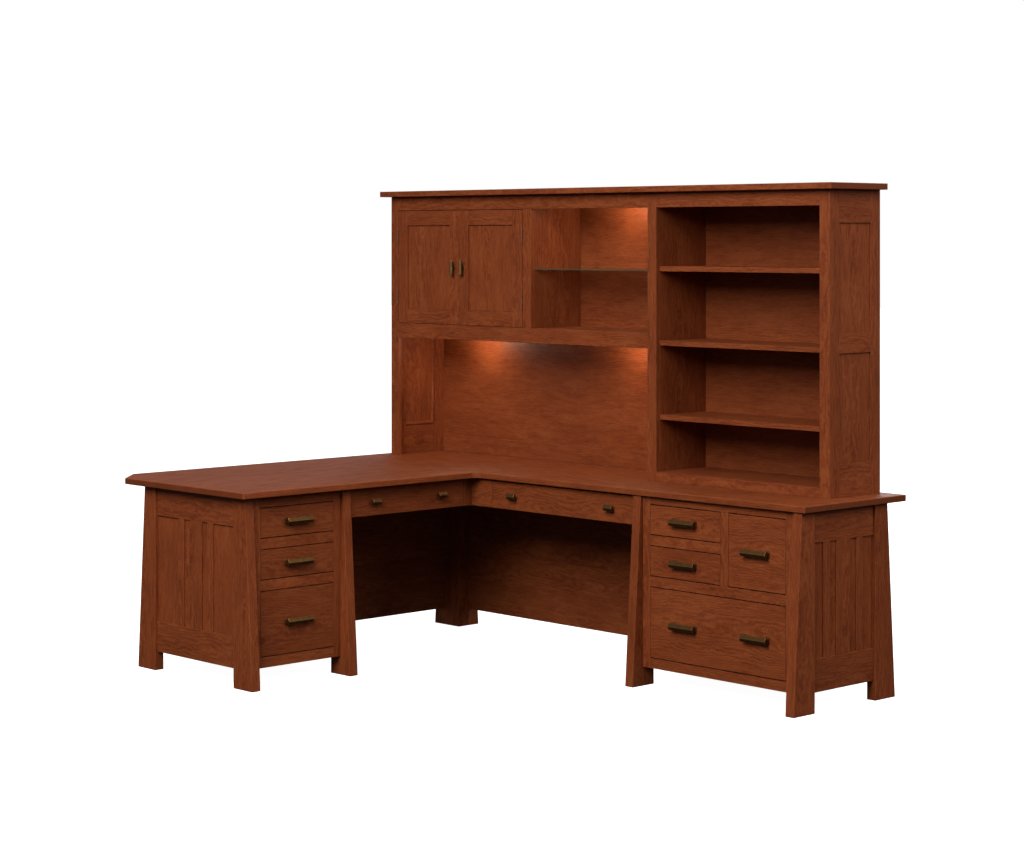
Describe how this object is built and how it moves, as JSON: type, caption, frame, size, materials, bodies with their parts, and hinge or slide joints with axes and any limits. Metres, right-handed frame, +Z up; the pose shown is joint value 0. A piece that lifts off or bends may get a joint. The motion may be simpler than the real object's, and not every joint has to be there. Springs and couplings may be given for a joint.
{
  "type": "corner desk",
  "caption": "L-shaped corner desk with flared legs, slatted end panels, drawer pedestals, pencil drawers and a bookcase hutch with framed doors and a lit open bay.",
  "frame": {"origin": "on the floor, under the middle of the rectangle that the two tops span", "axes": "+X along the credenza from the corner to its free end, +Y towards the wall behind the credenza, +Z up; the desk wing comes forward along -Y at the left"},
  "size_m": [2.67, 1.798, 1.94],
  "materials": {
    "cherry": "satin stained cherry, reddish brown, fine straight grain",
    "drawer_wood": "clear satin hardwood, unstained",
    "antique_brass": "dark antique brass with brighter edges",
    "hardware_steel": "bronze-plated steel",
    "shelf_glass": "clear glass with polished, faintly green edges",
    "bronze_housing": "dark bronze lacquer",
    "frosted_lens": "frosted, lit warm from behind"
  },
  "bodies": {
    "carcass": {"apron_boards": "cherry", "cabinet_floor": "cherry", "corner_bolts": "hardware_steel", "corner_legs": "cherry", "credenza_end_panel": "cherry", "credenza_face_frame": "cherry", "credenza_top": "cherry", "drawer_runners": "drawer_wood", "frame_hinge_leaves": "hardware_steel", "glass_shelf": "shelf_glass", "hinge_pins": "hardware_steel", "hutch_back": "cherry", "hutch_crown": "cherry", "hutch_face_frame": "cherry", "hutch_partitions": "cherry", "hutch_shelves": "cherry", "hutch_sides": "cherry", "kneehole_panels": "cherry", "light_housings": "bronze_housing", "light_lenses": "frosted_lens", "modesty_panels": "cherry", "pedestal_boards": "cherry", "pedestal_legs": "cherry", "shelf_pins": "hardware_steel", "wing_end_panel": "cherry", "wing_face_frame": "cherry", "wing_top": "cherry"},
    "credenza_file_drawer": {"credenza_file_box": "drawer_wood", "credenza_file_front": "cherry", "credenza_file_pull": "antique_brass"},
    "credenza_middle_drawer": {"credenza_middle_box": "drawer_wood", "credenza_middle_front": "cherry", "credenza_middle_pull": "antique_brass"},
    "credenza_pencil_drawer": {"credenza_pencil_box": "drawer_wood", "credenza_pencil_front": "cherry", "credenza_pencil_knobs": "antique_brass"},
    "credenza_tall_drawer": {"credenza_tall_box": "drawer_wood", "credenza_tall_front": "cherry", "credenza_tall_pull": "antique_brass"},
    "credenza_upper_drawer": {"credenza_upper_box": "drawer_wood", "credenza_upper_front": "cherry", "credenza_upper_pull": "antique_brass"},
    "left_door_leaf": {"left_door": "cherry", "left_door_leaves": "hardware_steel", "left_door_pull": "antique_brass"},
    "right_door_leaf": {"right_door": "cherry", "right_door_leaves": "hardware_steel", "right_door_pull": "antique_brass"},
    "wing_file_drawer": {"wing_file_box": "drawer_wood", "wing_file_front": "cherry", "wing_file_pull": "antique_brass"},
    "wing_middle_drawer": {"wing_middle_box": "drawer_wood", "wing_middle_front": "cherry", "wing_middle_pull": "antique_brass"},
    "wing_pencil_drawer": {"wing_pencil_box": "drawer_wood", "wing_pencil_front": "cherry", "wing_pencil_knobs": "antique_brass"},
    "wing_upper_drawer": {"wing_upper_box": "drawer_wood", "wing_upper_front": "cherry", "wing_upper_pull": "antique_brass"}
  },
  "joints": [
    {"name": "credenza_upper_slide", "type": "slide", "parent": "carcass", "child": "credenza_upper_drawer", "axis": [0, -1, 0], "range_m": [0, 0.3]},
    {"name": "credenza_middle_slide", "type": "slide", "parent": "carcass", "child": "credenza_middle_drawer", "axis": [0, -1, 0], "range_m": [0, 0.3]},
    {"name": "credenza_tall_slide", "type": "slide", "parent": "carcass", "child": "credenza_tall_drawer", "axis": [0, -1, 0], "range_m": [0, 0.3]},
    {"name": "credenza_file_slide", "type": "slide", "parent": "carcass", "child": "credenza_file_drawer", "axis": [0, -1, 0], "range_m": [0, 0.3]},
    {"name": "credenza_pencil_slide", "type": "slide", "parent": "carcass", "child": "credenza_pencil_drawer", "axis": [0, -1, 0], "range_m": [0, 0.25]},
    {"name": "wing_upper_slide", "type": "slide", "parent": "carcass", "child": "wing_upper_drawer", "axis": [1, 0, 0], "range_m": [0, 0.3]},
    {"name": "wing_middle_slide", "type": "slide", "parent": "carcass", "child": "wing_middle_drawer", "axis": [1, 0, 0], "range_m": [0, 0.3]},
    {"name": "wing_file_slide", "type": "slide", "parent": "carcass", "child": "wing_file_drawer", "axis": [1, 0, 0], "range_m": [0, 0.3]},
    {"name": "wing_pencil_slide", "type": "slide", "parent": "carcass", "child": "wing_pencil_drawer", "axis": [-1, 0, 0], "range_m": [-0.25, 0]},
    {"name": "left_door_hinge", "type": "hinge", "parent": "carcass", "child": "left_door_leaf", "pos_m": [-1.2285, 0.5644, 1.604], "axis": [0, 0, -1], "range_deg": [0, 105]},
    {"name": "right_door_hinge", "type": "hinge", "parent": "carcass", "child": "right_door_leaf", "pos_m": [-0.4245, 0.5644, 1.604], "axis": [0, 0, 1], "range_deg": [0, 105]}
  ]
}
